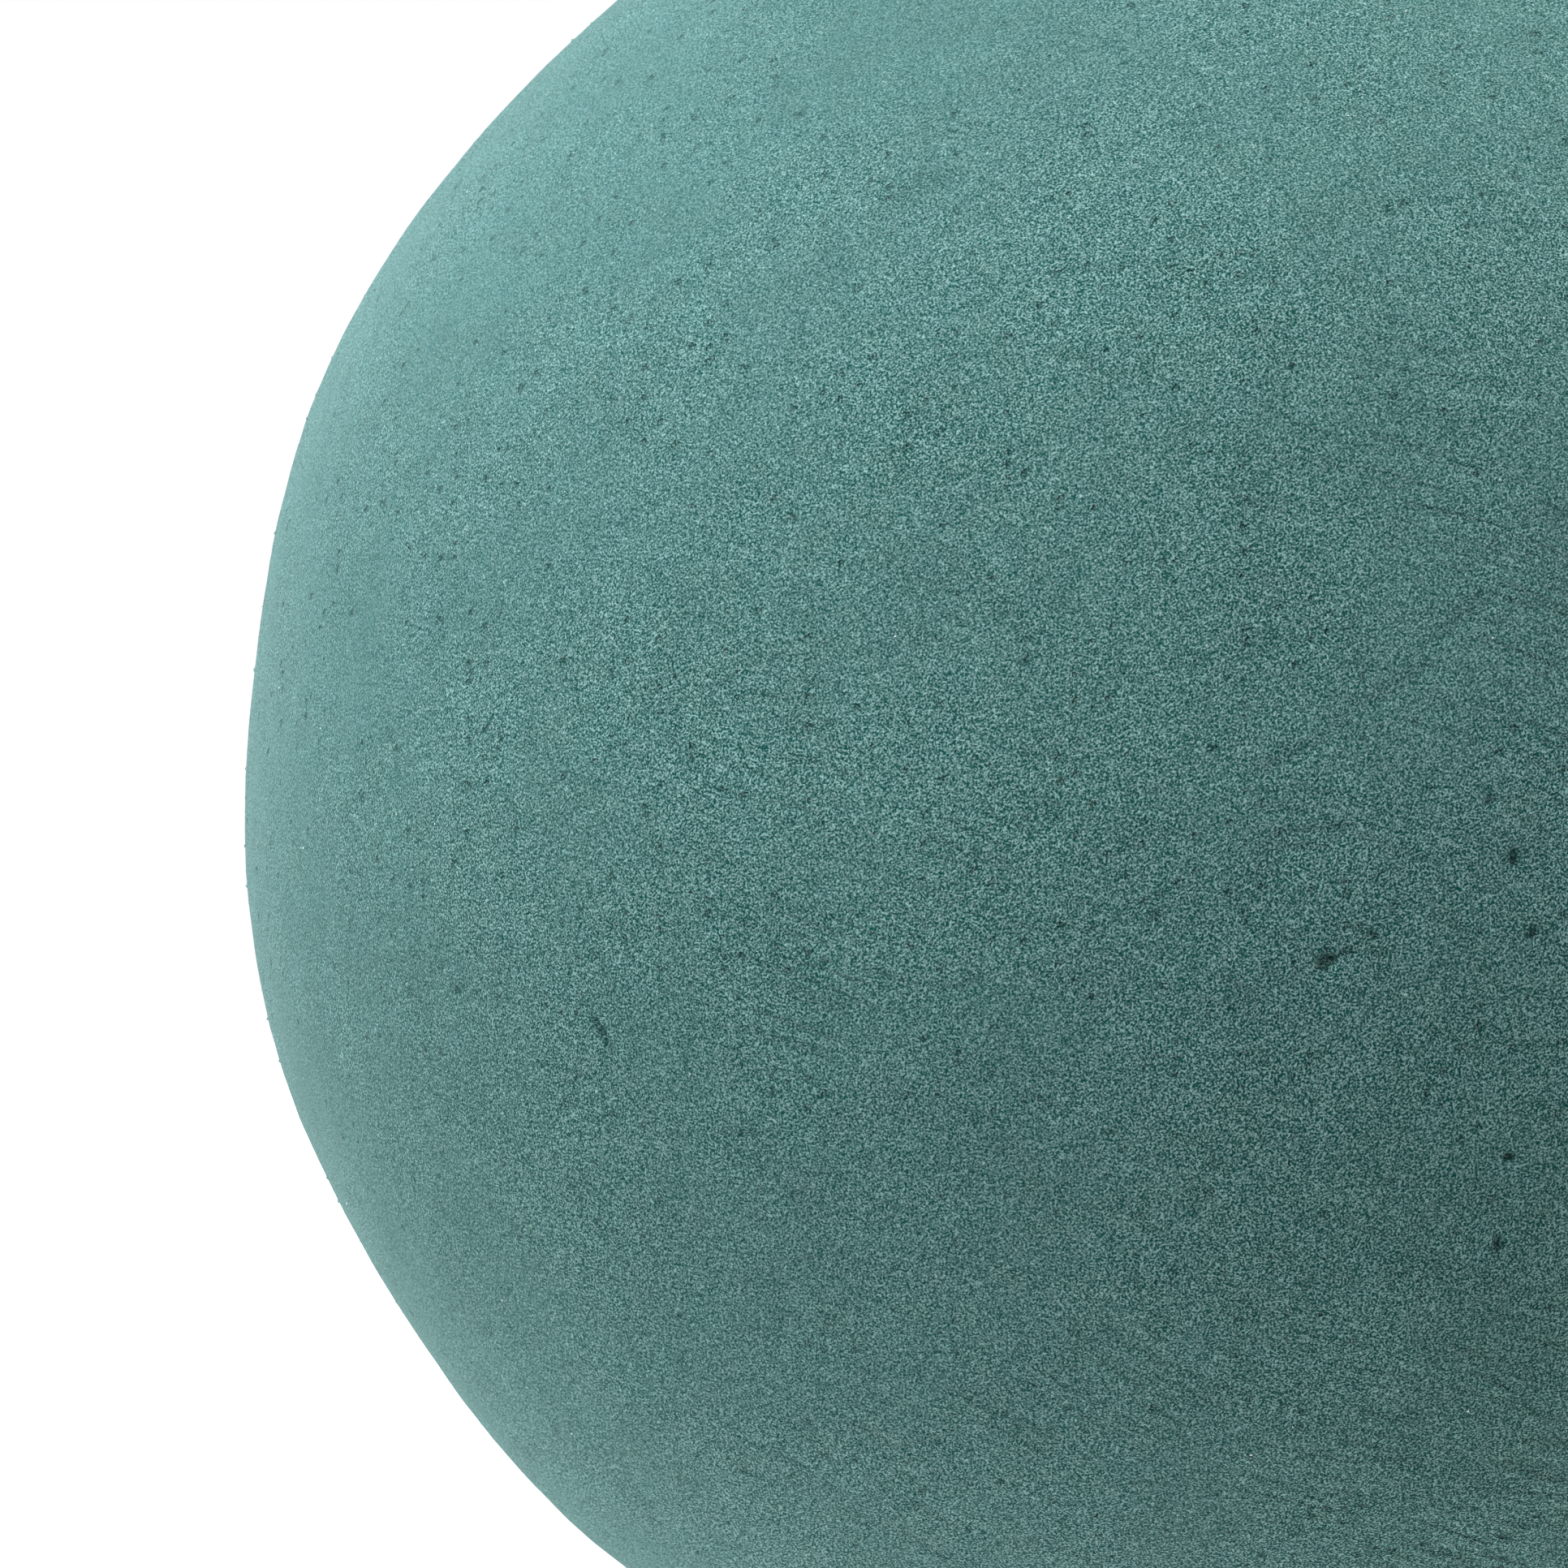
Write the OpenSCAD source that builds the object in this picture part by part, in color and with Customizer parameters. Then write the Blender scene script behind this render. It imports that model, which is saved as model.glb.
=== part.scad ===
// Ball of wet floral foam.
//
// The real thing is one piece: a ball cut from a block of stiff, brittle,
// open-celled phenolic foam. Cut stems are pushed straight into it, so it has
// no holes, fixings, shells or moving parts of its own. It stands on its
// lowest point, which is the origin, with +Z up.

/* [Ball] */
// Diameter of the ball
ball_d = 120; // [70:10:200]

/* [Hidden] */
ball_r = ball_d / 2;
foam_green = [0.33, 0.48, 0.47];

// The whole object: one solid ball of foam, sitting on the origin.
module foam_ball() {
    color(foam_green)
        translate([0, 0, ball_r])
            sphere(r = ball_r, $fn = 120);
}

foam_ball();
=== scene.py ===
"""A ball of wet floral foam: its cut surface, its loose crumbs, and a plain pale studio.

The ball is one solid piece of stiff, open-celled foam. What is built here is that piece with the
marks that cutting and handling leave on it, the crumbs that cling to it, and the material of both.
Sizes are in millimetres in the dataclasses and in metres in the meshes.
"""

import logging
import math
import random
from collections.abc import Iterable, Sequence
from dataclasses import dataclass, field
from enum import Enum
from typing import Any

import bmesh
import bpy
from mathutils import Matrix, Vector
from mathutils.kdtree import KDTree


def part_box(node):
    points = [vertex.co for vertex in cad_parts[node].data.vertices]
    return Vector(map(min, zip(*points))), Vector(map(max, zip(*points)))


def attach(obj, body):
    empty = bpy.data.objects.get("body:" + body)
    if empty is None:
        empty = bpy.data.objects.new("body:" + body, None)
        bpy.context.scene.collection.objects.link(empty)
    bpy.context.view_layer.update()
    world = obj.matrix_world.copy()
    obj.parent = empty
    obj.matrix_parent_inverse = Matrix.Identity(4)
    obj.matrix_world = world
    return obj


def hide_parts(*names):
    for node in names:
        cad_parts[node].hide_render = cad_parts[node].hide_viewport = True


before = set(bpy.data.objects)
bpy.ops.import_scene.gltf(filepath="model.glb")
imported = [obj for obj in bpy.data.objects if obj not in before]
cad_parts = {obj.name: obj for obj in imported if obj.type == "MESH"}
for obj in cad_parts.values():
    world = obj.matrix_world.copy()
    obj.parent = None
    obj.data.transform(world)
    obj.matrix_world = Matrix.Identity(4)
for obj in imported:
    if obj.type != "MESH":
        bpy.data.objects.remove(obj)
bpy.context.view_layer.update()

MM = 0.001
Colour = tuple[float, float, float]
Socket = bpy.types.NodeSocket
NUMBER, VECTOR, GEOMETRY = "NodeSocketFloat", "NodeSocketVector", "NodeSocketGeometry"
OBJECT, MATERIAL = "NodeSocketObject", "NodeSocketMaterial"

log = logging.getLogger("foam_ball")


def direction(azimuth: float, elevation: float) -> Vector:
    """Give a direction by its degrees: azimuth 0 faces the viewer (-Y) and 90 is on the right (+X)."""
    turn, rise = math.radians(azimuth), math.radians(elevation)
    level = math.cos(rise)
    return Vector((level * math.sin(turn), -level * math.cos(turn), math.sin(rise)))


# ---- node trees


class Wiring:
    """Adds nodes to one node tree and links them. It serves shader and geometry trees alike."""

    def __init__(self, tree: bpy.types.NodeTree) -> None:
        """Start wiring a tree."""
        self.tree = tree

    def add(self, kind: str, plugs: dict[str | int, Any] | None = None, **settings: Any) -> bpy.types.Node:
        """Add one node.

        Args:
            kind: The node's type, such as "ShaderNodeMath".
            plugs: What each input takes, by its name or number: a socket to link, or a value.
            settings: The node's own properties.

        Returns:
            The new node.
        """
        node = self.tree.nodes.new(kind)
        for name, value in settings.items():
            setattr(node, name, value)
        for key, value in (plugs or {}).items():
            if isinstance(value, Socket):
                self.tree.links.new(value, node.inputs[key])
            else:
                node.inputs[key].default_value = value
        return node

    def math(self, operation: str, *values: Any, clamp: bool = False) -> Socket:
        """Do one sum on numbers.

        Args:
            operation: The Math node's operation.
            values: Its one, two or three values or sockets.
            clamp: Whether the result is kept from 0 to 1.

        Returns:
            The result's socket.
        """
        plugs = dict(enumerate(values))
        return self.add("ShaderNodeMath", plugs, operation=operation, use_clamp=clamp).outputs[0]

    def vector(self, operation: str, *values: Any) -> Socket:
        """Do one sum on vectors.

        Args:
            operation: The Vector Math node's operation.
            values: Its vectors or sockets, in order.

        Returns:
            The result's socket, which is a number for a dot product or a length.
        """
        node = self.add("ShaderNodeVectorMath", dict(enumerate(values)), operation=operation)
        return node.outputs["Value" if operation in ("DOT_PRODUCT", "LENGTH") else "Vector"]

    def scaled(self, vector: Any, factor: Any) -> Socket:
        """Give a vector times a number."""
        return self.add("ShaderNodeVectorMath", {0: vector, "Scale": factor}, operation="SCALE").outputs[0]

    def turned(self, vector: Any, degrees: Sequence[float]) -> Socket:
        """Turn a place about the three axes, so that a pattern's own grid doesn't line up with them."""
        angles = tuple(math.radians(angle) for angle in degrees)
        plugs = {"Vector": vector, "Rotation": angles}
        return self.add("ShaderNodeVectorRotate", plugs, rotation_type="EULER_XYZ").outputs[0]

    def centred(self, cloud: Socket, spread: Any) -> Socket:
        """Turn a noise's colour into a shift that averages nothing and reaches half of spread."""
        return self.scaled(self.vector("SUBTRACT", cloud, (0.5, 0.5, 0.5)), spread)

    def grey(self, level: Socket) -> Socket:
        """Turn a number into a grey."""
        return self.add("ShaderNodeCombineColor", {0: level, 1: level, 2: level}).outputs[0]

    def fade(self, value: Any, start: Any, end: Any, low: Any = 0.0, high: Any = 1.0) -> Socket:
        """Change smoothly from low to high while a value goes from start to end.

        Args:
            value: The value or socket that is followed.
            start: Where the change starts.
            end: Where the change is complete.
            low: The result before start.
            high: The result after end.

        Returns:
            The result's socket.
        """
        plugs = {"Value": value, "From Min": start, "From Max": end, "To Min": low, "To Max": high}
        return self.add("ShaderNodeMapRange", plugs, interpolation_type="SMOOTHSTEP").outputs["Result"]

    def noise(self, position: Any, width: Any, detail: float = 0.0, roughness: float = 0.5) -> bpy.types.Node:
        """Add a noise whose blotches have a given width.

        Args:
            position: The point that it is read at.
            width: The blotches' width, in the position's own units.
            detail: How many finer layers it has.
            roughness: How strong the finer layers are.

        Returns:
            The noise node, whose "Fac" and "Color" outputs average one half.
        """
        scale = self.math("DIVIDE", 1.0, width)
        plugs = {"Vector": position, "Scale": scale, "Detail": detail, "Roughness": roughness}
        return self.add("ShaderNodeTexNoise", plugs, noise_dimensions="3D")

    def mixed(self, share: Any, first: Any, second: Any, blend: str = "MIX") -> Socket:
        """Mix two colours.

        Args:
            share: How much of the second colour is used, from 0 to 1.
            first: The first colour or socket.
            second: The second colour or socket.
            blend: The way that they are mixed.

        Returns:
            The mixed colour's socket.
        """
        colours = {
            key: value if isinstance(value, Socket) else (*value, 1.0)
            for key, value in ((6, first), (7, second))
        }
        node = self.add("ShaderNodeMix", {0: share, **colours}, data_type="RGBA", blend_type=blend)
        return node.outputs[2]


@dataclass
class Group:
    """A node group with named inputs and outputs."""

    name: str
    tree_type: str
    inputs: dict[str, tuple[str, Any]]
    outputs: dict[str, str]
    tree: bpy.types.NodeTree = field(init=False)
    wiring: Wiring = field(init=False)

    def __post_init__(self) -> None:
        """Make the tree, its sockets, and the nodes at its two ends."""
        self.tree = bpy.data.node_groups.new(self.name, self.tree_type)
        for name, (kind, default) in self.inputs.items():
            socket = self.tree.interface.new_socket(name=name, in_out="INPUT", socket_type=kind)
            if default is not None:
                socket.default_value = default
        for name, kind in self.outputs.items():
            self.tree.interface.new_socket(name=name, in_out="OUTPUT", socket_type=kind)
        self.wiring = Wiring(self.tree)
        self._start = self.wiring.add("NodeGroupInput")
        self._end = self.wiring.add("NodeGroupOutput")

    def given(self, name: str) -> Socket:
        """Give the socket, inside the group, of one of its inputs."""
        return self._start.outputs[name]

    def give(self, name: str, socket: Socket) -> None:
        """Send a result out of the group."""
        self.tree.links.new(socket, self._end.inputs[name])

    def placed(self, wiring: Wiring, plugs: dict[str, Any]) -> bpy.types.Node:
        """Put the group into another tree.

        Args:
            wiring: The other tree's wiring.
            plugs: What each of the group's inputs takes.

        Returns:
            The group's node in that tree.
        """
        kind = "ShaderNodeGroup" if self.tree_type == "ShaderNodeTree" else "GeometryNodeGroup"
        return wiring.add(kind, plugs, node_tree=self.tree)


def applied(obj: bpy.types.Object, group: Group, values: dict[str, Any]) -> None:
    """Run a geometry group on an object and leave the result as its plain mesh.

    Args:
        obj: The object whose mesh is read and replaced.
        group: The geometry group.
        values: What each of the group's inputs takes, by name.
    """
    modifier = obj.modifiers.new(group.name, "NODES")
    modifier.node_group = group.tree
    for item in group.tree.interface.items_tree:
        if item.in_out == "INPUT" and item.name in values:
            modifier[item.identifier] = values[item.name]
    bpy.context.view_layer.update()
    graph = bpy.context.evaluated_depsgraph_get()
    shown = obj.evaluated_get(graph)
    mesh = bpy.data.meshes.new_from_object(shown, preserve_all_data_layers=True, depsgraph=graph)
    obj.modifiers.remove(modifier)
    old = obj.data
    obj.data = mesh
    bpy.data.meshes.remove(old)
    mesh.name = obj.name


# ---- finishes


@dataclass
class SharedEffects:
    """The shader groups that the materials are put together from."""

    cells: Group = field(init=False)
    pores: Group = field(init=False)
    mottle: Group = field(init=False)

    def __post_init__(self) -> None:
        """Build the groups."""
        self.cells = self._cut_cells()
        self.pores = self._pores()
        self.mottle = self._mottle()

    @staticmethod
    def _cut_cells() -> Group:
        """Build the pattern of cut-open cells.

        Returns:
            A group that gives Tone, which is 0 deep in an open cell and 1 on its torn wall.
        """
        group = Group(
            "cut cells",
            "ShaderNodeTree",
            {
                "Position": (VECTOR, None),
                "Cell Width": (NUMBER, 0.14),
                "Contrast": (NUMBER, 2.5),
                "Openness": (NUMBER, 1.4),
            },
            {"Tone": NUMBER},
        )
        w = group.wiring
        place, width = group.given("Position"), group.given("Cell Width")
        ragged = w.noise(w.turned(place, (35.0, 20.0, 60.0)), width).outputs["Fac"]
        wider = w.noise(w.turned(place, (70.0, 50.0, 10.0)), w.math("MULTIPLY", width, 1.2)).outputs["Fac"]
        plugs = {"Vector": place, "Scale": w.math("DIVIDE", 0.6, width)}
        cell = w.add("ShaderNodeTexVoronoi", plugs, feature="F1")
        wall_share, usual_distance, strength = 0.3, 0.45, 0.7
        average = 0.5 + 0.5 + wall_share * usual_distance
        wall = w.math("MULTIPLY_ADD", cell.outputs["Distance"], wall_share, -average)
        both = w.math("MULTIPLY", w.math("ADD", w.math("ADD", ragged, wider), wall), strength)
        tone = w.math("MULTIPLY_ADD", both, group.given("Contrast"), 0.5, clamp=True)
        group.give("Tone", w.math("POWER", tone, group.given("Openness")))
        return group

    @staticmethod
    def _pores() -> Group:
        """Build scattered larger pores, where a few cells have run together.

        Returns:
            A group that gives Depth, which is 1 in the middle of a pore and 0 outside.
        """
        group = Group(
            "large pores",
            "ShaderNodeTree",
            {
                "Position": (VECTOR, None),
                "Spacing": (NUMBER, 1.0),
                "Share": (NUMBER, 0.4),
            },
            {"Depth": NUMBER},
        )
        w = group.wiring
        place, spacing = group.given("Position"), group.given("Spacing")
        ruffle = w.noise(place, w.math("MULTIPLY", spacing, 0.25), 1.0).outputs["Color"]
        ruffled = w.centred(ruffle, w.math("MULTIPLY", spacing, 0.4))
        moved = w.vector("ADD", place, ruffled)
        plugs = {"Vector": moved, "Scale": w.math("DIVIDE", 1.0, spacing)}
        pore = w.add("ShaderNodeTexVoronoi", plugs, feature="F1")
        chance = w.add("ShaderNodeSeparateColor", {0: pore.outputs["Color"]}).outputs[0]
        reach = w.fade(chance, w.math("SUBTRACT", 1.0, group.given("Share")), 1.0, 0.0, 0.42)
        group.give("Depth", w.fade(pore.outputs["Distance"], reach, w.math("MULTIPLY", reach, 0.3)))
        return group

    @staticmethod
    def _mottle() -> Group:
        """Build the soft patches of lighter and darker, greyer and greener foam.

        Returns:
            A group that gives Shade and Tint, both from 0 to 1 and one half on average.
        """
        group = Group(
            "foam mottle",
            "ShaderNodeTree",
            {"Position": (VECTOR, None), "Patch Width": (NUMBER, 3.0)},
            {"Shade": NUMBER, "Tint": NUMBER},
        )
        w = group.wiring
        place = group.given("Position")
        width = group.given("Patch Width")
        shade = w.noise(place, width, 2.0, 0.55).outputs["Fac"]
        moved = w.vector("ADD", place, (31.0, -17.0, 53.0))
        tint = w.noise(moved, w.math("MULTIPLY", width, 0.6), 3.0, 0.6).outputs["Fac"]
        group.give("Shade", w.fade(shade, 0.2, 0.8))
        group.give("Tint", w.fade(tint, 0.2, 0.8))
        return group


def new_material(
    name: str, constants: dict[str, Any] | None = None
) -> tuple[bpy.types.Material, Wiring, bpy.types.Node]:
    """Start a material with a Principled shader.

    Args:
        name: The material's name.
        constants: What the shader's own sockets are set to.

    Returns:
        The material, its wiring and its Principled node.
    """
    material = bpy.data.materials.new(name)
    material.use_nodes = True
    material.node_tree.nodes.clear()
    wiring = Wiring(material.node_tree)
    shader = wiring.add("ShaderNodeBsdfPrincipled", constants)
    wiring.add("ShaderNodeOutputMaterial", {"Surface": shader.outputs[0]})
    return material, wiring, shader


def place_in_mm(wiring: Wiring) -> Socket:
    """Give the shaded point's place on its own object, in millimetres."""
    place = wiring.add("ShaderNodeTexCoord").outputs["Object"]
    return wiring.scaled(place, 1.0 / MM)


@dataclass(frozen=True)
class FoamFinish:
    """The cut foam: a fine grain of open cells with painted shade in their hollows, faint patches, ripples
    with painted shade along them, and painted shade in its pits, grooves and pores.

    Foam rises as it is made, which can draw its cells out: they gape where the cut crosses the rise
    and lie flat at its sides. This ball's direction of rise is a guess. The middle is the ball's own,
    in millimetres.
    """

    middle: tuple[float, float, float]
    name: str = "cut_foam"
    wall: Colour = (0.290, 0.506, 0.479)
    # Painted shade deep in the open cells; the grain mixes it with the walls' own colour.
    painted_cell_shade: Colour = (0.001, 0.072, 0.062)
    # Painted shade for the pits, grooves and pores, near black.
    torn: Colour = (0.001, 0.036, 0.030)
    bluish: Colour = (0.97, 1.00, 1.015)
    greyish: Colour = (1.03, 1.00, 0.985)
    cell_width: float = 0.10
    cell_openness: float = 1.8
    rise: tuple[float, float, float] = (0.25, -0.88, -0.40)
    side_contrast: float = 0.9
    usual_contrast: float = 1.85
    gaping_contrast: float = 2.45
    patch_contrast: float = 0.5
    pressed_width: float = 9.0
    patch_width: float = 3.2
    patch_levels: tuple[float, float] = (0.96, 1.04)
    streak_length: float = 6.0
    streak_width: float = 0.8
    streak_tilt: float = -22.0
    streak_swirl: float = 6.0
    cell_relief: float = 0.04
    dent_width: float = 1.6
    dent_relief: float = 0.10
    streak_relief: float = 0.13
    streak_shade: float = 0.10
    pore_spacing: float = 0.9
    pore_shares: tuple[float, float] = (0.15, 0.6)
    pore_relief: float = 0.12
    pore_shade: float = 0.38
    roughness: float = 0.93

    def made(self, effects: SharedEffects) -> bpy.types.Material:
        """Make the material.

        Args:
            effects: The shared shader groups.

        Returns:
            The foam's material.
        """
        sheen = {"Sheen Weight": 0.02, "Sheen Roughness": 0.45, "Sheen Tint": (0.80, 1.0, 0.98, 1.0)}
        material, w, shader = new_material(self.name, {"Specular IOR Level": 0.15, **sheen})
        place = place_in_mm(w)
        pressing = w.noise(place, self.pressed_width, 1.0).outputs["Fac"]
        outward = w.vector("NORMALIZE", w.vector("SUBTRACT", place, self.middle))
        across = w.math("ABSOLUTE", w.vector("DOT_PRODUCT", outward, self.rise))
        sides = w.fade(across, 0.0, 0.7, self.side_contrast, self.usual_contrast)
        gaping = w.fade(across, 0.85, 1.0, 0.0, self.gaping_contrast - self.usual_contrast)
        patches = w.math("SUBTRACT", w.fade(pressing, 0.3, 0.7), 0.5)
        contrast = w.math("MULTIPLY_ADD", patches, self.patch_contrast, w.math("ADD", sides, gaping))
        sizes = {"Cell Width": self.cell_width, "Contrast": contrast, "Openness": self.cell_openness}
        tone = effects.cells.placed(w, {"Position": place, **sizes}).outputs["Tone"]
        mottle = effects.mottle.placed(w, {"Position": place, "Patch Width": self.patch_width})
        # How much painted shade each point of a pit or groove takes, stored on the ball.
        torn = w.add("ShaderNodeAttribute", attribute_name=FoamBall.pit_shade_mark).outputs["Fac"]
        streaks = w.math("MULTIPLY", self._streaks(w, place), w.fade(across, 0.4, 0.85))
        share = w.fade(pressing, 0.35, 0.65, *self.pore_shares)
        plugs = {"Position": place, "Spacing": self.pore_spacing, "Share": share}
        pores = effects.pores.placed(w, plugs).outputs["Depth"]

        # The grain: the walls' own colour with painted shade in the open cells.
        grain = w.mixed(tone, self.painted_cell_shade, self.wall)
        tint = w.mixed(mottle.outputs["Tint"], self.bluish, self.greyish)
        tinted = w.mixed(1.0, grain, tint, "MULTIPLY")
        level = w.fade(mottle.outputs["Shade"], 0.0, 1.0, *self.patch_levels)
        # Painted shade along the ripples, on top of their real relief.
        level = w.math("MULTIPLY", level, w.math("MULTIPLY_ADD", streaks, -self.streak_shade, 1.0))
        shaded = w.mixed(1.0, tinted, w.grey(level), "MULTIPLY")
        # Painted shade in the pits, grooves and pores, weaker on the cell walls.
        painted_hollow_shade = w.math("MAXIMUM", torn, w.math("MULTIPLY", pores, self.pore_shade))
        depth = w.math("MULTIPLY", painted_hollow_shade, w.fade(tone, 0.1, 0.9, 1.0, 0.6), clamp=True)
        w.tree.links.new(w.mixed(depth, shaded, self.torn), shader.inputs["Base Color"])

        dents = w.noise(place, self.dent_width, 3.0, 0.6).outputs["Fac"]
        normal = None
        for height, relief in (
            (dents, self.dent_relief),
            (streaks, -self.streak_relief),
            (pores, -self.pore_relief),
            (tone, self.cell_relief),
        ):
            plugs = {"Strength": 1.0, "Distance": relief * MM, "Height": height}
            if normal:
                plugs["Normal"] = normal
            normal = w.add("ShaderNodeBump", plugs).outputs[0]
        w.tree.links.new(normal, shader.inputs["Normal"])

        rough = w.math("MULTIPLY_ADD", tone, -0.08, self.roughness + 0.05)
        w.tree.links.new(rough, shader.inputs["Roughness"])
        return material

    def _streaks(self, w: Wiring, place: Socket) -> Socket:
        """Make the faint, swirling ripples that a cutter leaves, long one way and narrow the other.

        Args:
            w: The material's wiring.
            place: The shaded point, in millimetres.

        Returns:
            How strong a streak is, from 0 to 1.
        """
        swirl = w.noise(place, self.streak_length * 4.0).outputs["Color"]
        swirled = w.vector("ADD", place, w.centred(swirl, self.streak_swirl * 2.0))
        narrow, long = 1.0 / self.streak_width, 1.0 / self.streak_length
        tilted = w.turned(swirled, (0.0, self.streak_tilt, 0.0))
        stretched = w.vector("MULTIPLY", tilted, (long, long, narrow))
        drawn = w.noise(stretched, 1.0, 1.0).outputs["Fac"]
        where = w.noise(place, self.streak_length * 1.3, 1.0).outputs["Fac"]
        return w.math("MULTIPLY", w.fade(drawn, 0.38, 0.72), w.fade(where, 0.35, 0.65))


@dataclass(frozen=True)
class CrumbFinish:
    """Loose foam: the same foam as the ball's, a little paler because its broken walls scatter light."""

    name: str = "loose_foam"
    light: Colour = (0.34, 0.56, 0.54)
    dark: Colour = (0.12, 0.25, 0.235)
    cell_width: float = 0.12

    def made(self, effects: SharedEffects) -> bpy.types.Material:
        """Make the material.

        Args:
            effects: The shared shader groups.

        Returns:
            The crumbs' material.
        """
        material, w, shader = new_material(self.name, {"Specular IOR Level": 0.25, "Sheen Weight": 0.2})
        place = place_in_mm(w)
        cells = effects.cells.placed(w, {"Position": place, "Cell Width": self.cell_width})
        mottle = effects.mottle.placed(w, {"Position": place, "Patch Width": 1.5})
        tone = w.math("MULTIPLY", cells.outputs[0], 0.4)
        share = w.math("MULTIPLY_ADD", mottle.outputs["Shade"], 0.6, tone)
        w.tree.links.new(w.mixed(share, self.dark, self.light), shader.inputs["Base Color"])
        rough = w.math("MULTIPLY_ADD", cells.outputs[0], -0.1, 0.95)
        w.tree.links.new(rough, shader.inputs["Roughness"])
        return material


@dataclass(frozen=True)
class GlintFinish:
    """A bare scrap of cell wall: smooth, so it shines where it faces a light, and near white, which paints a
    glint on it from every side.
    """

    name: str = "bare_cell_wall"
    # Near-white colours that paint the glint; the low roughness gives the real one.
    painted_glint: Colour = (0.78, 0.90, 0.88)
    painted_glint_dim: Colour = (0.50, 0.66, 0.64)

    def made(self, effects: SharedEffects) -> bpy.types.Material:
        """Make the material.

        Args:
            effects: The shared shader groups.

        Returns:
            The glints' material.
        """
        material, w, shader = new_material(self.name)
        place = place_in_mm(w)
        mottle = effects.mottle.placed(w, {"Position": place, "Patch Width": 0.2})
        # Painted glint: pale colour, patchy at random.
        colour = w.mixed(mottle.outputs["Shade"], self.painted_glint_dim, self.painted_glint)
        w.tree.links.new(colour, shader.inputs["Base Color"])
        rough = w.math("MULTIPLY_ADD", mottle.outputs["Tint"], 0.2, 0.15)
        w.tree.links.new(rough, shader.inputs["Roughness"])
        return material


@dataclass(frozen=True)
class FloorFinish:
    """The studio floor: matt white card with a barely visible grain, lit up towards its far edge."""

    name: str = "white_card"
    card: Colour = (0.90, 0.90, 0.90)
    fleck: Colour = (0.87, 0.87, 0.87)
    near_glow: float = 0.0
    far_glow: float = 1.0
    near: float = 0.2
    far: float = 0.9

    def made(self) -> bpy.types.Material:
        """Make the floor's material, which glows a little, as a light table does."""
        matt = {"Roughness": 0.9, "Specular IOR Level": 0.1, "Emission Strength": 1.0}
        material, w, shader = new_material(self.name, matt)
        grain = w.noise(place_in_mm(w), 1.5, 3.0).outputs["Fac"]
        w.tree.links.new(w.mixed(grain, self.fleck, self.card), shader.inputs["Base Color"])
        away = w.vector("LENGTH", w.add("ShaderNodeTexCoord").outputs["Object"])
        glow = w.fade(away, self.near, self.far, self.near_glow, self.far_glow)
        w.tree.links.new(w.grey(glow), shader.inputs["Emission Color"])
        return material


# ---- the ball


class FlawKind(Enum):
    """What left a mark in the foam."""

    PIT = "torn cells"
    GROOVE = "tool mark"


@dataclass(frozen=True)
class Flaw:
    """One mark below the cut surface.

    Its place is an azimuth and an elevation, as in direction(). Its length, width and depth are in
    millimetres, and turn is how far its long side rises to the right, in degrees.
    """

    kind: FlawKind
    azimuth: float
    elevation: float
    length: float
    width: float
    depth: float
    turn: float = 0.0

    def outward(self) -> Vector:
        """Give the direction from the ball's centre to the mark."""
        return direction(self.azimuth, self.elevation)

    def lengthwise(self) -> Vector:
        """Give the direction of the mark's long side, along the surface."""
        azimuth = math.radians(self.azimuth)
        rightward = Vector((math.cos(azimuth), math.sin(azimuth), 0.0))
        upward = self.outward().cross(rightward)
        turn = math.radians(self.turn)
        return rightward * math.cos(turn) + upward * math.sin(turn)


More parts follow.
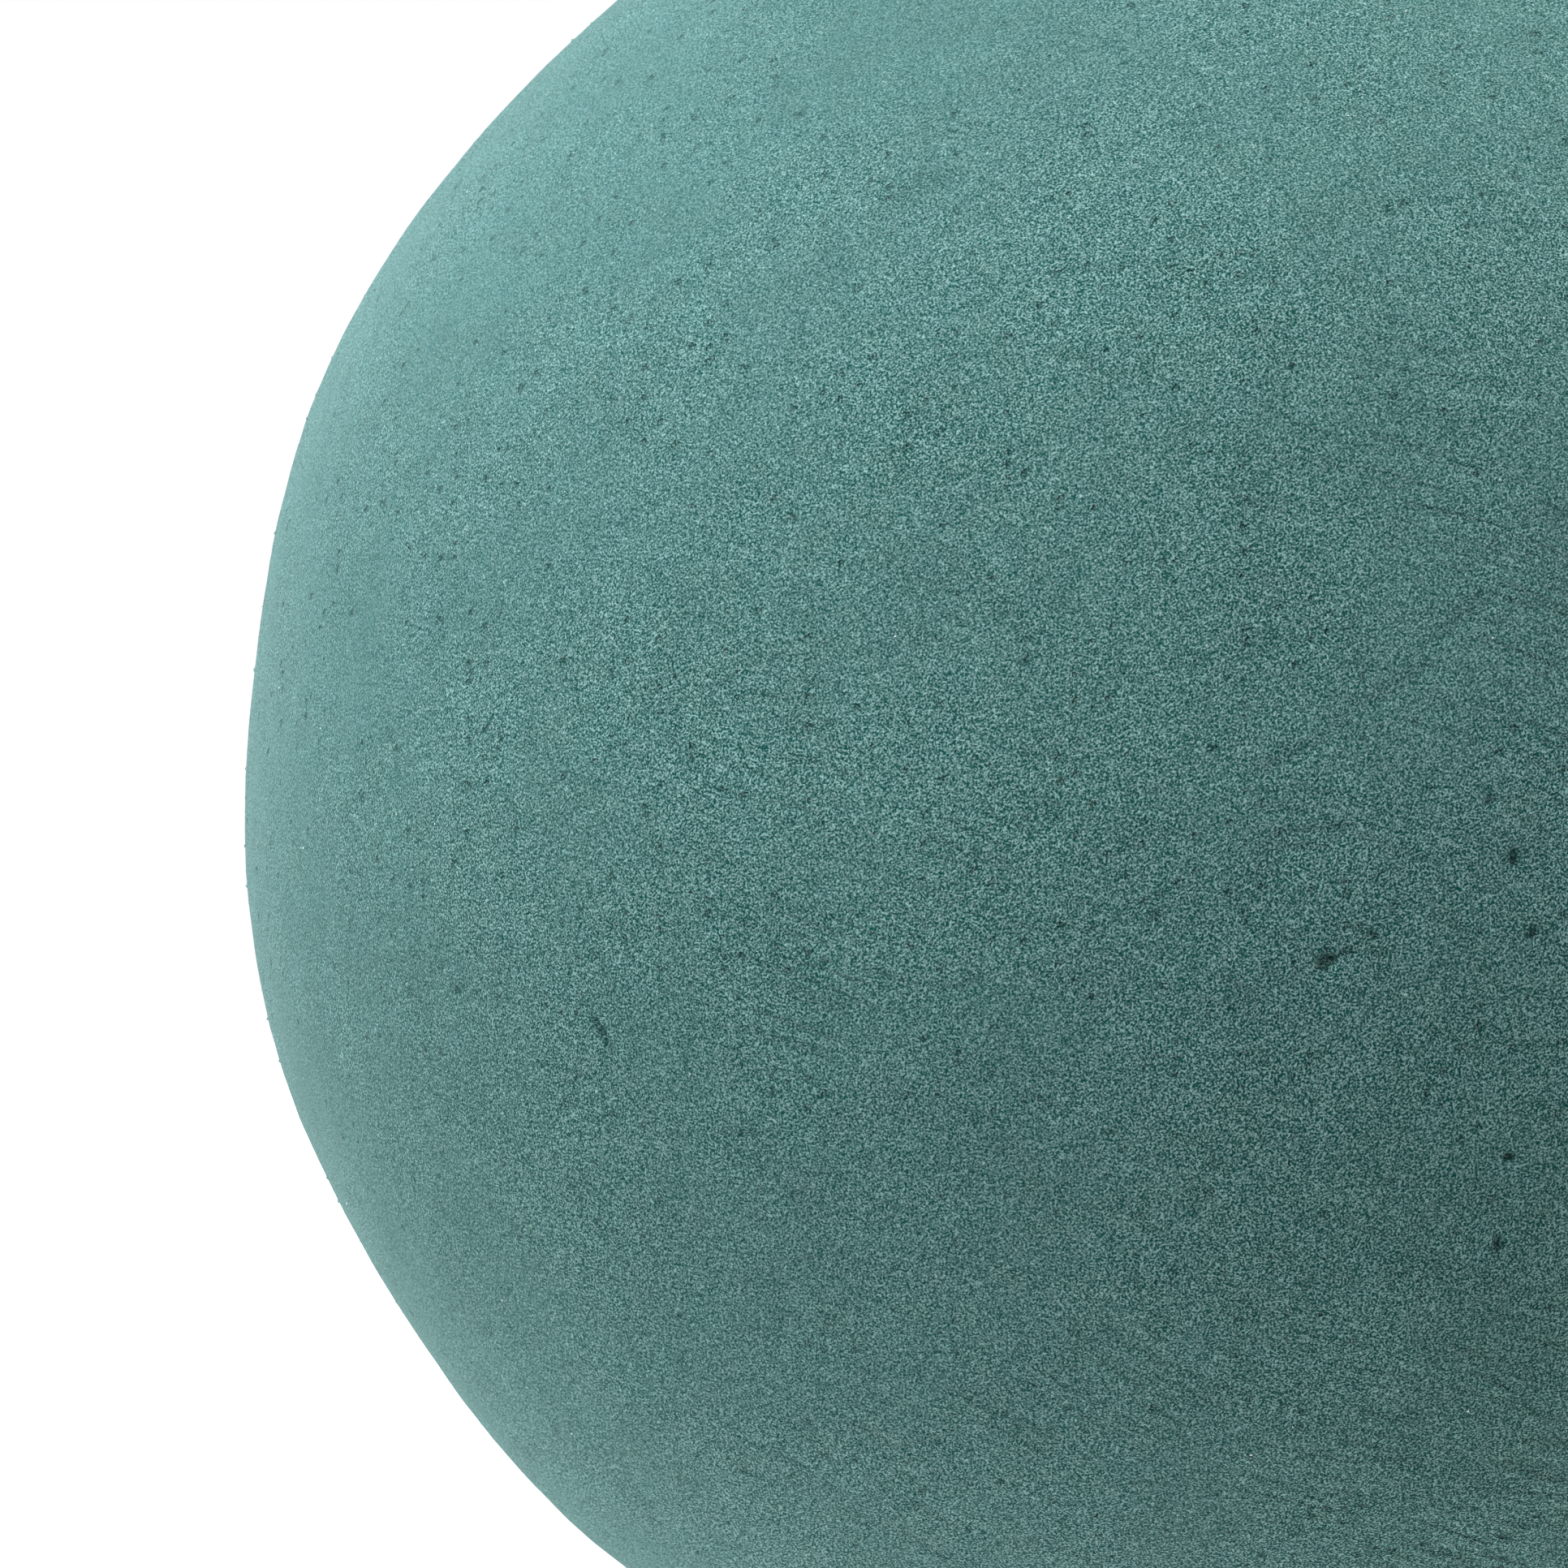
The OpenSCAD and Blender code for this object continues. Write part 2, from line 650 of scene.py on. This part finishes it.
@dataclass
class FoamBall:
    """The ball itself: one closed skin round solid foam."""

    centre: Vector
    radius: float
    piece_name: str = "cut_foam_ball"
    # The name of the attribute that carries the painted shade of pits and grooves.
    pit_shade_mark = "torn"
    faces_per_side: int = 100
    refinements: int = 2
    flat_depth: float = 0.45
    flats_per_turn: float = 9.4
    first_crest: float = 25.0
    lump_depth: float = 0.22
    lump_width: float = 17.0
    tremble_depth: float = 0.07
    tremble_width: float = 2.4
    spare_pits: int = 52
    spare_grooves: int = 30
    known_west: float = -78.0
    known_east: float = 17.0
    known_height: float = 55.0
    pit_spacing: float = 13.0
    groove_spacing: float = 15.0
    pit_raggedness: float = 1.6
    groove_raggedness: float = 0.5
    # How much painted shade the middle of a pit or groove takes.
    pit_shade_share: float = 0.75
    groove_shade_share: float = 0.18
    tear_width: float = 0.45
    seed: int = 12

    def known_flaws(self) -> list[Flaw]:
        """Give the marks on the side that faces the viewer."""
        pit, groove = FlawKind.PIT, FlawKind.GROOVE
        return [
            Flaw(pit, 1.6, -9.5, 1.7, 1.2, 0.48, 40.0),
            Flaw(pit, 2.6, -9.0, 1.5, 0.8, 0.20, 20.0),
            Flaw(pit, 3.9, -8.1, 0.8, 0.6, 0.26),
            Flaw(pit, -40.0, -13.6, 3.2, 0.7, 0.34, -70.0),
            Flaw(pit, -34.4, 38.2, 1.1, 0.7, 0.22, 30.0),
            Flaw(pit, -7.2, -7.2, 1.1, 0.8, 0.30, 10.0),
            Flaw(pit, 11.2, -4.2, 1.4, 1.0, 0.34, -80.0),
            Flaw(pit, 9.8, -1.3, 1.2, 0.8, 0.30, 35.0),
            Flaw(pit, 12.0, -25.0, 1.6, 1.0, 0.42, 85.0),
            Flaw(pit, 12.0, -20.0, 0.9, 0.8, 0.32),
            Flaw(pit, 12.3, -8.0, 1.1, 0.8, 0.27, 50.0),
            Flaw(pit, -8.8, -25.6, 0.7, 0.5, 0.22, 45.0),
            Flaw(pit, -48.5, -21.0, 1.0, 0.6, 0.22, 60.0),
            Flaw(pit, -51.0, -11.5, 0.9, 0.6, 0.20),
            Flaw(pit, -23.6, 33.6, 0.8, 0.5, 0.18),
            Flaw(pit, -20.5, 31.0, 0.7, 0.5, 0.18, 50.0),
            Flaw(pit, -22.0, 36.5, 0.6, 0.5, 0.18),
            Flaw(groove, -31.5, -19.0, 6.5, 0.5, 0.10, 8.0),
            Flaw(groove, 0.5, 1.5, 9.0, 1.3, 0.09, 30.0),
            Flaw(groove, 5.0, 4.5, 10.0, 1.2, 0.09, 32.0),
            Flaw(groove, 8.5, 8.0, 8.0, 1.2, 0.08, 35.0),
            Flaw(groove, -17.5, -10.8, 6.0, 0.8, 0.07, 10.0),
            Flaw(groove, -3.0, -11.8, 6.0, 0.7, 0.06, -2.0),
            Flaw(groove, -12.0, 22.0, 7.0, 0.9, 0.06, -12.0),
            Flaw(groove, -52.0, 8.0, 9.0, 0.8, 0.07, -78.0),
            Flaw(groove, -22.8, 32.7, 7.0, 2.2, 0.10, 22.0),
        ]

    def flaws(self) -> list[Flaw]:
        """Give all marks: the known ones, and spare ones strewn over the rest of the ball."""
        chance = random.Random(self.seed)
        found = self.known_flaws()
        for kind, wanted, spacing in (
            (FlawKind.PIT, self.spare_pits, self.pit_spacing),
            (FlawKind.GROOVE, self.spare_grooves, self.groove_spacing),
        ):
            found += self._strewn(kind, wanted, spacing, [f for f in found if f.kind is kind], chance)
        return found

    def _strewn(
        self, kind: FlawKind, wanted: int, spacing: float, taken: Sequence[Flaw], chance: random.Random
    ) -> list[Flaw]:
        """Strew marks evenly over the part of the ball without known ones, clear of each other.

        Args:
            kind: What kind of mark.
            wanted: How many marks to add.
            spacing: The least distance between two marks, in millimetres.
            taken: The marks of this kind that are already there.
            chance: The source of chance.

        Returns:
            The new marks, which are fewer than wanted where there is no more room.
        """
        places = [flaw.outward() for flaw in taken]
        least = spacing * MM / self.radius
        added: list[Flaw] = []
        for _ in range(wanted * 30):
            if len(added) == wanted:
                break
            azimuth = chance.uniform(-180.0, 180.0)
            elevation = math.degrees(math.asin(chance.uniform(-1.0, 1.0)))
            if self.known_west < azimuth < self.known_east and abs(elevation) < self.known_height:
                continue
            if kind is FlawKind.PIT:
                length = chance.triangular(0.6, 2.2, 0.8)
                width = length * chance.uniform(0.3, 0.8)
                shape = (length, width, 0.12 + length * chance.uniform(0.04, 0.12))
            else:
                shape = (chance.uniform(4.0, 12.0), chance.uniform(0.5, 1.6), chance.uniform(0.04, 0.09))
            flaw = Flaw(kind, azimuth, elevation, *shape, chance.uniform(-90.0, 90.0))
            outward = flaw.outward()
            if all((outward - place).length > least for place in places):
                places.append(outward)
                added.append(flaw)
        return added

    def build(self, effects: SharedEffects) -> bpy.types.Object:
        """Build the ball and dress it.

        Args:
            effects: The shared shader groups.

        Returns:
            The ball, in place, with the painted shade of its pits and grooves marked.
        """
        flaws = self.flaws()
        obj = bpy.data.objects.new(self.piece_name, self._smooth_ball(flaws))
        bpy.context.scene.collection.objects.link(obj)
        marks = {kind: self._mark_points(kind, flaws) for kind in FlawKind}
        applied(
            obj,
            self._cutting_group(),
            {
                "Material": FoamFinish(tuple(self.centre / MM)).made(effects),
                "Pits": marks[FlawKind.PIT],
                "Grooves": marks[FlawKind.GROOVE],
                "Centre": self.centre,
                "Flat Depth": self.flat_depth * MM,
                "Flats Per Turn": self.flats_per_turn,
                "First Crest": math.radians(self.first_crest),
                "Lump Depth": self.lump_depth * MM,
                "Lump Width": self.lump_width * MM,
                "Tremble Depth": self.tremble_depth * MM,
                "Tremble Width": self.tremble_width * MM,
            },
        )
        for mark in marks.values():
            bpy.data.meshes.remove(mark.data)
        lowest = min(vertex.co.z for vertex in obj.data.vertices)
        obj.data.transform(Matrix.Translation((0.0, 0.0, -lowest)))
        obj.data.shade_smooth()
        return obj

    def _smooth_ball(self, flaws: Iterable[Flaw]) -> bpy.types.Mesh:
        """Build an even ball of quads, finer round each mark.

        Args:
            flaws: The marks that need a finer mesh.

        Returns:
            The mesh, about the ball's own centre.
        """
        work = bmesh.new()
        bmesh.ops.create_cube(work, size=2.0)
        bmesh.ops.subdivide_edges(work, edges=work.edges, cuts=self.faces_per_side - 1, use_grid_fill=True)
        for vertex in work.verts:
            even = Vector(math.tan(part * math.pi / 4.0) for part in vertex.co)
            vertex.co = even.normalized() * self.radius
        for refinement in range(self.refinements):
            reach = (1.0 - 0.3 * refinement) * MM
            near = self._near_flaws(work, flaws, reach)
            edges = [edge for edge in work.edges if edge.verts[0] in near and edge.verts[1] in near]
            bmesh.ops.subdivide_edges(work, edges=edges, cuts=1, use_grid_fill=True)
            for vertex in work.verts:
                vertex.co = vertex.co.normalized() * self.radius
        for vertex in work.verts:
            vertex.co += self.centre
        mesh = bpy.data.meshes.new(self.piece_name)
        work.to_mesh(mesh)
        work.free()
        return mesh

    def _near_flaws(
        self, work: bmesh.types.BMesh, flaws: Iterable[Flaw], reach: float
    ) -> set[bmesh.types.BMVert]:
        """Find the vertices that a mark touches.

        Args:
            work: The ball's mesh, about the origin.
            flaws: The marks.
            reach: How far beyond a mark's edge a vertex may be, in metres.

        Returns:
            The vertices.
        """
        work.verts.ensure_lookup_table()
        tree = KDTree(len(work.verts))
        for index, vertex in enumerate(work.verts):
            tree.insert(vertex.co, index)
        tree.balance()
        near = set()
        for flaw in flaws:
            half_width = flaw.width * MM / 2.0
            half_run = max(flaw.length * MM / 2.0 - half_width, 0.0)
            steps = max(1, math.ceil(half_run / (half_width + reach)))
            for step in range(-steps, steps + 1):
                spot = flaw.outward() * self.radius + flaw.lengthwise() * (half_run * step / steps)
                near.update(work.verts[i] for _, i, _ in tree.find_range(spot, half_width + reach))
        return near

    def _mark_points(self, kind: FlawKind, flaws: Iterable[Flaw]) -> bpy.types.Object:
        """Put one point at each mark of a kind, with its sizes as attributes.

        Args:
            kind: What kind of mark.
            flaws: All marks.

        Returns:
            An unshown object of loose points.
        """
        chosen = [flaw for flaw in flaws if flaw.kind is kind]
        mesh = bpy.data.meshes.new(kind.name.lower())
        mesh.from_pydata([self.centre + flaw.outward() * self.radius for flaw in chosen], [], [])
        for name, values in (
            ("half_length", [flaw.length * MM / 2.0 for flaw in chosen]),
            ("half_width", [flaw.width * MM / 2.0 for flaw in chosen]),
            ("depth", [flaw.depth * MM for flaw in chosen]),
        ):
            mesh.attributes.new(name, "FLOAT", "POINT").data.foreach_set("value", values)
        lengthwise = mesh.attributes.new("lengthwise", "FLOAT_VECTOR", "POINT")
        lengthwise.data.foreach_set("vector", [part for flaw in chosen for part in flaw.lengthwise()])
        return bpy.data.objects.new(kind.name.lower(), mesh)

    def _sinking_group(self) -> Group:
        """Build the geometry group that says how far the nearest mark sinks each point.

        Returns:
            A group that gives Sink, in metres, and Share, which is 1 at the mark's middle.
        """
        group = Group(
            "sinking at marks",
            "GeometryNodeTree",
            {"Marks": (OBJECT, None), "Raggedness": (NUMBER, 0.4)},
            {"Sink": NUMBER, "Share": NUMBER},
        )
        w = group.wiring
        points = w.add("GeometryNodeObjectInfo", {"Object": group.given("Marks")}).outputs["Geometry"]
        here = w.add("GeometryNodeInputPosition").outputs[0]
        nearest = w.add("GeometryNodeSampleNearest", {"Geometry": points, "Sample Position": here})

        def read(value: Socket, kind: str) -> Socket:
            """Read a value at the nearest mark."""
            plugs = {"Geometry": points, "Value": value, "Index": nearest.outputs[0]}
            return w.add("GeometryNodeSampleIndex", plugs, data_type=kind).outputs[0]

        def measure(name: str, kind: str = "FLOAT") -> Socket:
            """Read one of the nearest mark's own measures."""
            own = w.add("GeometryNodeInputNamedAttribute", {"Name": name}, data_type=kind)
            return read(own.outputs[0], kind)

        away = w.vector("SUBTRACT", here, read(here, "FLOAT_VECTOR"))
        along = w.vector("DOT_PRODUCT", away, measure("lengthwise", "FLOAT_VECTOR"))
        total = w.vector("DOT_PRODUCT", away, away)
        along_squared = w.math("MULTIPLY", along, along)
        across = w.math("SQRT", w.math("MAXIMUM", w.math("SUBTRACT", total, along_squared), 0.0))
        lengths = w.math("DIVIDE", w.math("ABSOLUTE", along), measure("half_length"))
        widths = w.math("DIVIDE", across, measure("half_width"))
        reach = w.math("SQRT", w.math("ADD", w.math("POWER", lengths, 2.0), w.math("POWER", widths, 2.0)))
        tear = w.noise(here, self.tear_width * MM, 2.0, 0.6).outputs["Fac"]
        uneven = w.math("MULTIPLY", w.math("SUBTRACT", tear, 0.5), group.given("Raggedness"))
        share = w.fade(w.math("ADD", reach, uneven), 1.0, 0.25)
        group.give("Share", share)
        group.give("Sink", w.math("MULTIPLY", share, measure("depth")))
        return group

    def _cutting_group(self) -> Group:
        """Build the geometry group that turns a smooth ball into a cut one.

        Returns:
            A group that moves each point in or out along its radius, and marks where the pits and grooves
            take painted shade.
        """
        group = Group(
            "cut the ball",
            "GeometryNodeTree",
            {
                "Geometry": (GEOMETRY, None),
                "Material": (MATERIAL, None),
                "Pits": (OBJECT, None),
                "Grooves": (OBJECT, None),
                "Centre": (VECTOR, None),
                "Flat Depth": (NUMBER, 0.0),
                "Flats Per Turn": (NUMBER, 9.0),
                "First Crest": (NUMBER, 0.0),
                "Lump Depth": (NUMBER, 0.0),
                "Lump Width": (NUMBER, 0.01),
                "Tremble Depth": (NUMBER, 0.0),
                "Tremble Width": (NUMBER, 0.002),
            },
            {"Geometry": GEOMETRY},
        )
        w = group.wiring
        here = w.add("GeometryNodeInputPosition").outputs[0]
        away = w.vector("SUBTRACT", here, group.given("Centre"))
        outward = w.vector("NORMALIZE", away)
        height = w.add("ShaderNodeSeparateXYZ", {0: outward}).outputs[2]
        elevation = w.math("ARCSINE", height)

        phase = w.math("SUBTRACT", elevation, group.given("First Crest"))
        wave = w.math("COSINE", w.math("MULTIPLY", phase, group.given("Flats Per Turn")))
        level = w.math("COSINE", elevation)
        flats = w.math("MULTIPLY", w.math("MULTIPLY", wave, level), group.given("Flat Depth"))
        rise = w.math("MULTIPLY", flats, 0.5)
        for depth, width in (("Lump Depth", "Lump Width"), ("Tremble Depth", "Tremble Width")):
            noise = w.noise(here, group.given(width), 1.0).outputs["Fac"]
            centred = w.math("MULTIPLY", w.math("SUBTRACT", noise, 0.5), 2.0)
            rise = w.math("MULTIPLY_ADD", centred, group.given(depth), rise)

        sinking = self._sinking_group()
        # Each mark sinks the surface and takes painted shade towards its middle.
        shade_shares = []
        for name, raggedness, shade_share in (
            ("Pits", self.pit_raggedness, self.pit_shade_share),
            ("Grooves", self.groove_raggedness, self.groove_shade_share),
        ):
            plugs = {"Marks": group.given(name), "Raggedness": raggedness}
            marks = sinking.placed(w, plugs)
            rise = w.math("SUBTRACT", rise, marks.outputs["Sink"])
            shade_shares.append(w.math("MULTIPLY", marks.outputs["Share"], shade_share))
        moved = w.add(
            "GeometryNodeSetPosition",
            {"Geometry": group.given("Geometry"), "Offset": w.scaled(outward, rise)},
        )
        marked = w.add(
            "GeometryNodeStoreNamedAttribute",
            {
                "Geometry": moved.outputs[0],
                "Name": self.pit_shade_mark,
                "Value": w.math("MAXIMUM", *shade_shares),
            },
            data_type="FLOAT",
            domain="POINT",
        )
        single = w.add("GeometryNodeRealizeInstances", {"Geometry": marked.outputs[0]})
        plugs = {"Geometry": single.outputs[0], "Material": group.given("Material")}
        group.give("Geometry", w.add("GeometryNodeSetMaterial", plugs).outputs[0])
        return group


# ---- what clings to it


@dataclass
class Strewn:
    """Tiny bits that cling all over the ball's surface, as one piece."""

    piece_name: str
    finish: CrumbFinish | GlintFinish
    per_square_mm: float
    smallest: float
    largest: float
    flatness: float
    sunk: float
    clear_of_rest: float = 1.5
    size_bias: float = 2.5
    lump_grain: float = 0.10
    lump_shift: float = 0.12
    seed: int = 3

    def build(self, ball: bpy.types.Object, effects: SharedEffects) -> bpy.types.Object:
        """Strew the bits over the ball.

        Args:
            ball: The finished ball.
            effects: The shared shader groups.

        Returns:
            The bits, as one object.
        """
        obj = bpy.data.objects.new(self.piece_name, ball.data.copy())
        bpy.context.scene.collection.objects.link(obj)
        obj.data.materials.clear()
        applied(
            obj,
            self._strewing_group(),
            {
                "Per Square Metre": self.per_square_mm / MM**2,
                "Smallest": self.smallest * MM,
                "Largest": self.largest * MM,
                "Flatness": self.flatness,
                "Sunk": self.sunk,
                "Lowest": self.clear_of_rest * MM,
                "Seed": self.seed,
                "Material": self.finish.made(effects),
            },
        )
        return obj

    def _strewing_group(self) -> Group:
        """Build the geometry group that strews bits over a surface.

        Returns:
            A group that gives only the bits, each a small uneven lump.
        """
        group = Group(
            "strew bits",
            "GeometryNodeTree",
            {
                "Geometry": (GEOMETRY, None),
                "Per Square Metre": (NUMBER, 1000.0),
                "Smallest": (NUMBER, 0.0001),
                "Largest": (NUMBER, 0.0003),
                "Flatness": (NUMBER, 0.6),
                "Sunk": (NUMBER, 0.3),
                "Lowest": (NUMBER, 0.0),
                "Seed": ("NodeSocketInt", 0),
                "Material": (MATERIAL, None),
            },
            {"Geometry": GEOMETRY},
        )
        w = group.wiring
        seed = group.given("Seed")
        height = w.add("ShaderNodeSeparateXYZ", {0: w.add("GeometryNodeInputPosition").outputs[0]}).outputs[2]
        clear = w.add("FunctionNodeCompare", {0: height, 1: group.given("Lowest")}, operation="GREATER_THAN")
        points = w.add(
            "GeometryNodeDistributePointsOnFaces",
            {
                "Mesh": group.given("Geometry"),
                "Selection": clear.outputs[0],
                "Density": group.given("Per Square Metre"),
                "Seed": seed,
            },
            distribute_method="RANDOM",
        )
        share = w.add(
            "FunctionNodeRandomValue",
            {"Min": 0.0, "Max": 1.0, "Seed": w.math("ADD", seed, 1.0)},
            data_type="FLOAT",
        )
        small_more_often = w.math("POWER", share.outputs[1], self.size_bias)
        spread = w.math("SUBTRACT", group.given("Largest"), group.given("Smallest"))
        size = w.math("MULTIPLY_ADD", small_more_often, spread, group.given("Smallest"))
        half = w.math("MULTIPLY", size, 0.5)
        lump = w.add("GeometryNodeMeshIcoSphere", {"Radius": 1.0, "Subdivisions": 1})
        scale = w.add(
            "ShaderNodeCombineXYZ",
            {0: half, 1: w.math("MULTIPLY", half, 0.8), 2: w.math("MULTIPLY", half, group.given("Flatness"))},
        )
        spin = w.add(
            "FunctionNodeRandomValue",
            {"Min": (-0.7, -0.7, 0.0), "Max": (0.7, 0.7, math.tau), "Seed": w.math("ADD", seed, 2.0)},
            data_type="FLOAT_VECTOR",
        )
        turned = w.add(
            "FunctionNodeRotateRotation",
            {"Rotation": points.outputs["Rotation"], "Rotate By": spin.outputs[0]},
            rotation_space="LOCAL",
        )
        normal = points.outputs["Normal"]
        lift = w.math("MULTIPLY", half, w.math("SUBTRACT", 0.5, group.given("Sunk")))
        raised = w.add(
            "GeometryNodeSetPosition",
            {"Geometry": points.outputs["Points"], "Offset": w.scaled(normal, lift)},
        )
        placed = w.add(
            "GeometryNodeInstanceOnPoints",
            {
                "Points": raised.outputs[0],
                "Instance": lump.outputs["Mesh"],
                "Rotation": turned.outputs[0],
                "Scale": scale.outputs[0],
            },
        )
        single = w.add("GeometryNodeRealizeInstances", {"Geometry": placed.outputs[0]})
        dent = w.noise(w.add("GeometryNodeInputPosition").outputs[0], self.lump_grain * MM).outputs["Color"]
        plugs = {"Geometry": single.outputs[0], "Offset": w.centred(dent, self.lump_shift * MM)}
        uneven = w.add("GeometryNodeSetPosition", plugs)
        finished = w.add(
            "GeometryNodeSetMaterial",
            {"Geometry": uneven.outputs[0], "Material": group.given("Material")},
        )
        group.give("Geometry", finished.outputs[0])
        return group


# ---- the studio


@dataclass(frozen=True)
class Softbox:
    """A square soft light that faces the ball.

    Its azimuth and elevation are as in direction(), its distance and width are in metres and its
    power is in watts.
    """

    name: str
    azimuth: float
    elevation: float
    power: float
    distance: float = 1.4
    width: float = 1.0
    colour: Colour = (1.0, 1.0, 1.0)


@dataclass
class Studio:
    """A plain white floor, soft lights and the camera, with sizes in metres."""

    target: Vector
    ball_radius: float
    floor_radius: float = 1.5
    flag_radius: float = 0.020
    flag_gap: float = 0.008
    flag_colour: tuple[float, float, float, float] = (0.05, 0.05, 0.05, 1.0)
    backdrop: float = 1.0
    ambient: float = 0.03
    lens: float = 200.0
    sensor: float = 36.0
    ball_share: float = 0.6385
    right_share: float = 0.2910
    up_share: float = 0.0035
    softboxes: tuple[Softbox, ...] = (
        Softbox("key", -40.0, 30.0, 18.8, colour=(0.99, 1.0, 1.03)),
        Softbox("left_high", -100.0, 45.0, 14.4, colour=(0.99, 1.0, 1.05)),
        Softbox("back_left", -140.0, 10.0, 19.6, colour=(0.99, 1.0, 1.04)),
        Softbox("top_back", -150.0, 75.0, 3.8),
        Softbox("front_high", 20.0, 60.0, 3.6, colour=(0.99, 1.0, 1.04)),
        Softbox("right_fill", 100.0, 20.0, 23.6),
        Softbox("under_back", -170.0, -60.0, 24.7),
        Softbox("under", 0.0, -80.0, 8.0),
    )

    def build(self) -> None:
        """Build the floor, the lights, the surroundings and the camera."""
        self._floor()
        for softbox in self.softboxes:
            self._light(softbox)
        self._surroundings()
        self._camera()
        bpy.context.scene.view_settings.view_transform = "Standard"

    def _floor(self) -> None:
        """Lay the floor, which lets the lights below it through, and a flag that shades the contact."""
        floor = self._disc("floor", self.floor_radius, FloorFinish().made())
        floor.visible_diffuse = False
        floor.visible_shadow = False
        material, *_ = new_material("black_card", {"Base Color": self.flag_colour, "Roughness": 1.0})
        flag = self._disc("contact_flag", self.flag_radius, material)
        flag.location.z = -self.flag_gap
        flag.visible_camera = False
        flag.visible_glossy = False

    @staticmethod
    def _disc(name: str, radius: float, material: bpy.types.Material) -> bpy.types.Object:
        """Lay a round card flat on the ground.

        Args:
            name: The card's name.
            radius: Its radius, in metres.
            material: What it is made of.

        Returns:
            The card, as a part of the set.
        """
        work = bmesh.new()
        bmesh.ops.create_circle(work, cap_ends=True, radius=radius, segments=96)
        mesh = bpy.data.meshes.new(name)
        work.to_mesh(mesh)
        work.free()
        mesh.materials.append(material)
        disc = bpy.data.objects.new(name, mesh)
        bpy.context.scene.collection.objects.link(disc)
        return disc

    def _light(self, softbox: Softbox) -> None:
        """Hang one softbox so that it faces the ball."""
        light = bpy.data.lights.new(softbox.name, "AREA")
        light.shape = "SQUARE"
        light.size = softbox.width
        light.energy = softbox.power
        light.color = softbox.colour
        away = direction(softbox.azimuth, softbox.elevation)
        obj = bpy.data.objects.new(softbox.name, light)
        obj.location = self.target + away * softbox.distance
        obj.rotation_euler = away.to_track_quat("Z", "Y").to_euler()
        obj.visible_camera = False
        bpy.context.scene.collection.objects.link(obj)

    def _surroundings(self) -> None:
        """Make the surroundings white to look at and dimmer as a light."""
        world = bpy.data.worlds.new("studio")
        world.use_nodes = True
        world.node_tree.nodes.clear()
        w = Wiring(world.node_tree)
        white = (1.0, 1.0, 1.0, 1.0)
        seen = w.add("ShaderNodeBackground", {"Color": white, "Strength": self.backdrop})
        glow = w.add("ShaderNodeBackground", {"Color": white, "Strength": self.ambient})
        looked_at = w.add("ShaderNodeLightPath").outputs["Is Camera Ray"]
        both = w.add("ShaderNodeMixShader", {0: looked_at, 1: glow.outputs[0], 2: seen.outputs[0]})
        w.add("ShaderNodeOutputWorld", {"Surface": both.outputs[0]})
        bpy.context.scene.world = world

    def _camera(self) -> None:
        """Set the camera level with the ball's centre, close enough to crop the ball on the right."""
        data = bpy.data.cameras.new("camera")
        data.lens = self.lens
        data.sensor_width = self.sensor
        spread = math.atan(self.ball_share * self.sensor / self.lens)
        distance = self.ball_radius / math.sin(spread)
        frame_width = distance * self.sensor / self.lens
        camera = bpy.data.objects.new("camera", data)
        aside = Vector((-self.right_share * frame_width, -distance, -self.up_share * frame_width))
        camera.location = self.target + aside
        camera.rotation_euler = (math.radians(90.0), 0.0, 0.0)
        bpy.context.scene.collection.objects.link(camera)
        bpy.context.scene.camera = camera


# ---- putting it together


def report(obj: bpy.types.Object) -> None:
    """Log a finished piece's name and size."""
    obj.data.calc_loop_triangles()
    log.info("%s: %d triangles", obj.name, len(obj.data.loop_triangles))


def main() -> None:
    """Build the ball, the bits that cling to it and the studio, and report each piece."""
    logging.basicConfig(level=logging.INFO, format="%(name)s: %(message)s")
    low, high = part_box("foam_ball")
    centre, radius = (low + high) / 2.0, (high.z - low.z) / 2.0
    effects = SharedEffects()

    ball = FoamBall(centre, radius).build(effects)
    bits = (
        Strewn("foam_crumbs", CrumbFinish(), 0.07, 0.10, 0.30, 0.7, 0.45, seed=3),
        Strewn("cell_wall_scraps", GlintFinish(), 0.018, 0.08, 0.16, 0.35, 0.0, seed=8),
    )
    pieces = [ball, *(bit.build(ball, effects) for bit in bits)]
    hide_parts("foam_ball")
    for piece in pieces:
        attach(piece, "root")
        report(piece)

    Studio(centre, radius).build()


if __name__ == "__main__":
    main()
